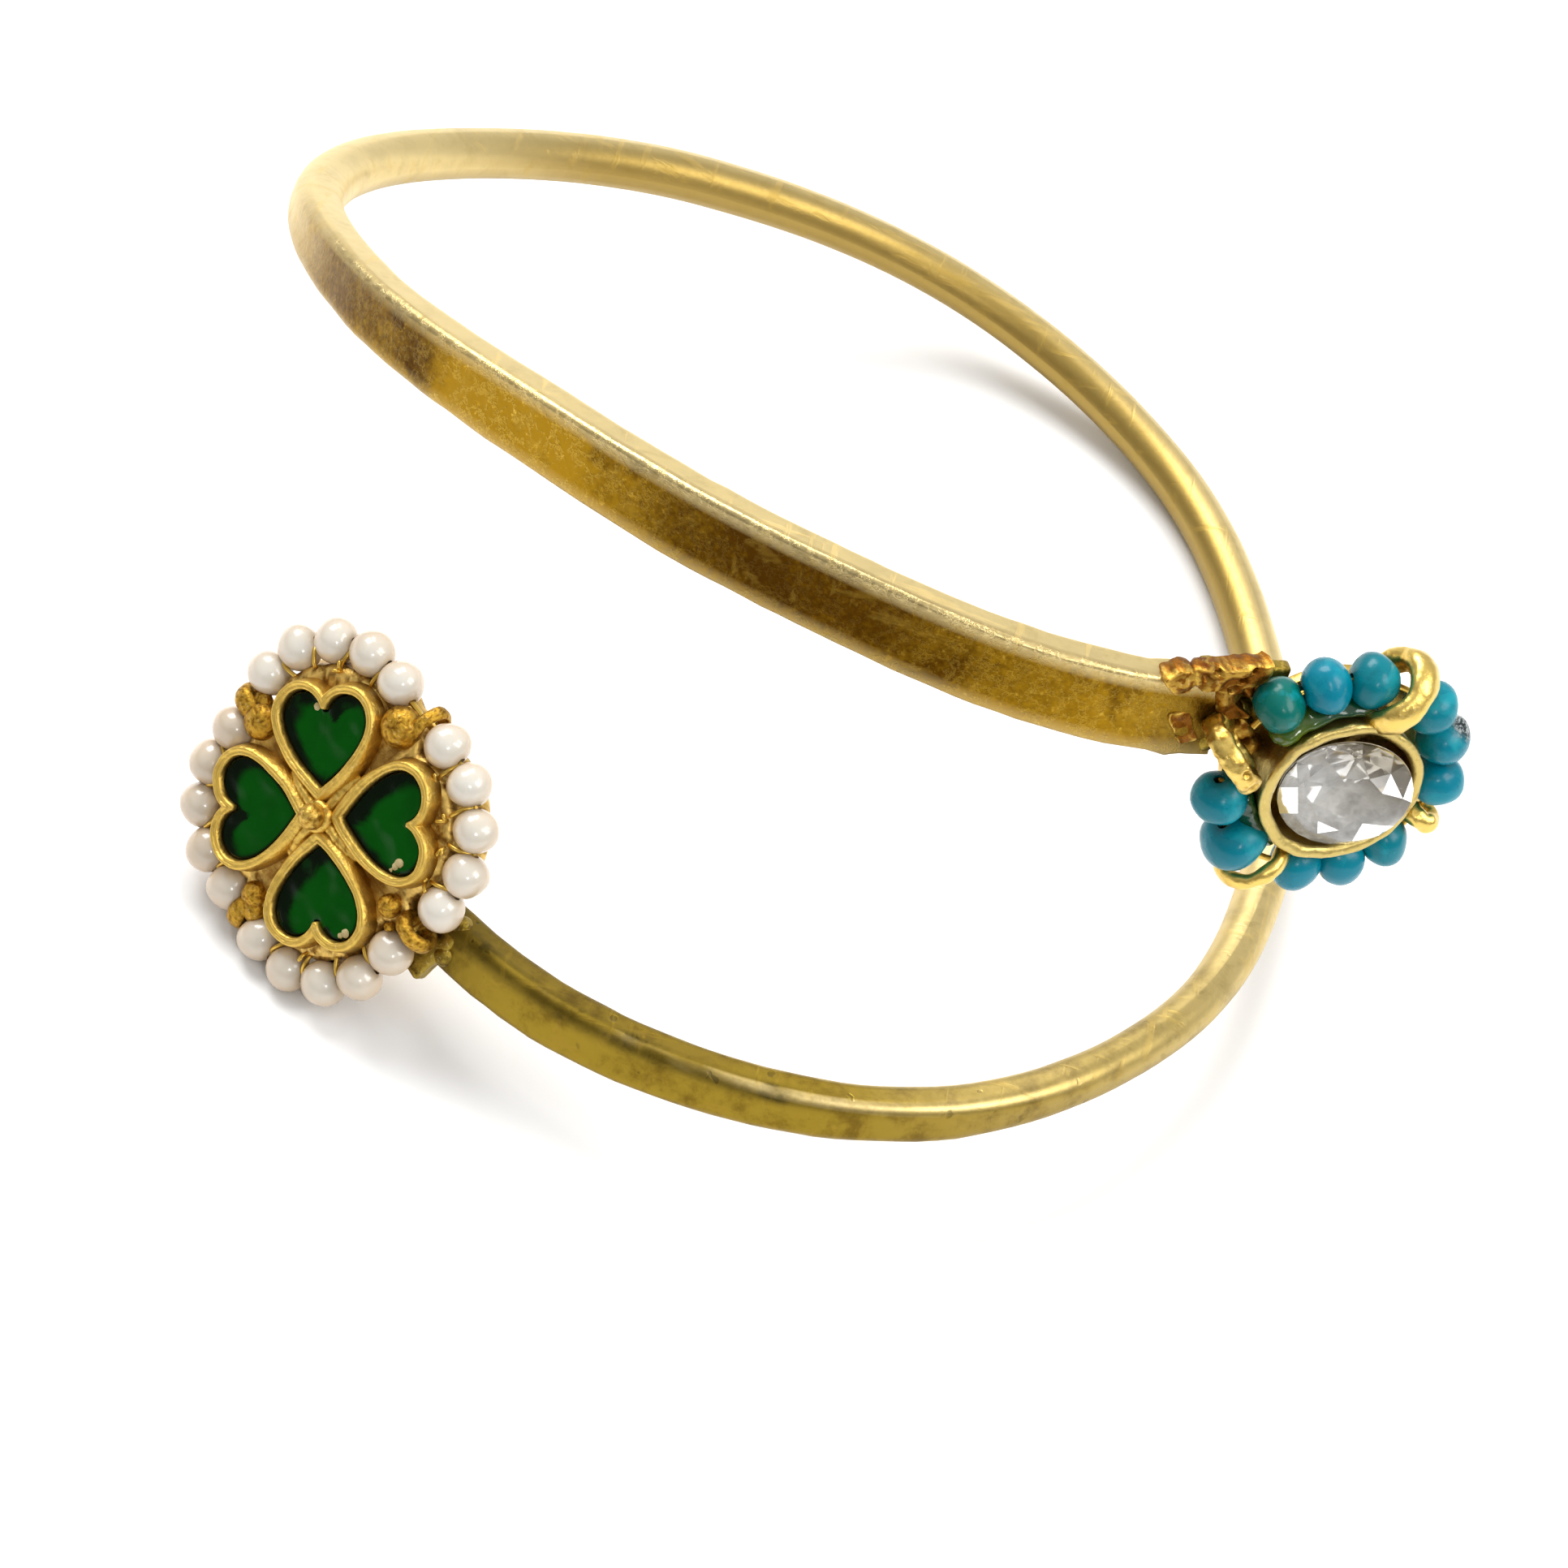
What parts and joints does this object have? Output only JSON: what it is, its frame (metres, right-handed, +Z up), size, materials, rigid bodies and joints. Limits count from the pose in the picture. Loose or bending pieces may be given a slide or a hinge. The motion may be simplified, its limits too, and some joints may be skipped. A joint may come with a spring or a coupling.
{
  "type": "open bangle",
  "caption": "Open gilt brass bangle that wraps past itself, with a pearl and green glass clover on one end and a turquoise and crystal flower on the other.",
  "frame": {"origin": "middle of the bangle's footprint box, on the surface that it lies on", "axes": "+Z up as the bangle lies on its side; -Y is the side where its two heads overlap, with the clover head at -X and the flower head at +X"},
  "size_m": [0.0656, 0.0668, 0.0375],
  "materials": {
    "gilt_brass": "gilt, beaten and polished by hand, worn satin on the round part",
    "green_glass": "deep green glass, polished and slightly domed",
    "crystal": "colourless, cut with facets",
    "pearl": "lustrous off-white",
    "turquoise": "polished, blue to green",
    "wire": "drawn"
  },
  "bodies": {
    "root": {"bangle": "gilt_brass", "green_heart_1": "green_glass", "green_heart_2": "green_glass", "green_heart_3": "green_glass", "green_heart_4": "green_glass", "crystal": "crystal", "pearl_01": "pearl", "pearl_02": "pearl", "pearl_03": "pearl", "pearl_04": "pearl", "pearl_05": "pearl", "pearl_06": "pearl", "pearl_07": "pearl", "pearl_08": "pearl", "pearl_09": "pearl", "pearl_10": "pearl", "pearl_11": "pearl", "pearl_12": "pearl", "pearl_13": "pearl", "pearl_14": "pearl", "pearl_15": "pearl", "pearl_16": "pearl", "pearl_17": "pearl", "pearl_18": "pearl", "pearl_19": "pearl", "pearl_20": "pearl", "turquoise_01": "turquoise", "turquoise_02": "turquoise", "turquoise_03": "turquoise", "turquoise_04": "turquoise", "turquoise_05": "turquoise", "turquoise_06": "turquoise", "turquoise_07": "turquoise", "turquoise_08": "turquoise", "turquoise_09": "turquoise", "turquoise_10": "turquoise", "turquoise_11": "turquoise", "pearl_wire": "wire", "turquoise_wire": "wire"}
  },
  "joints": []
}
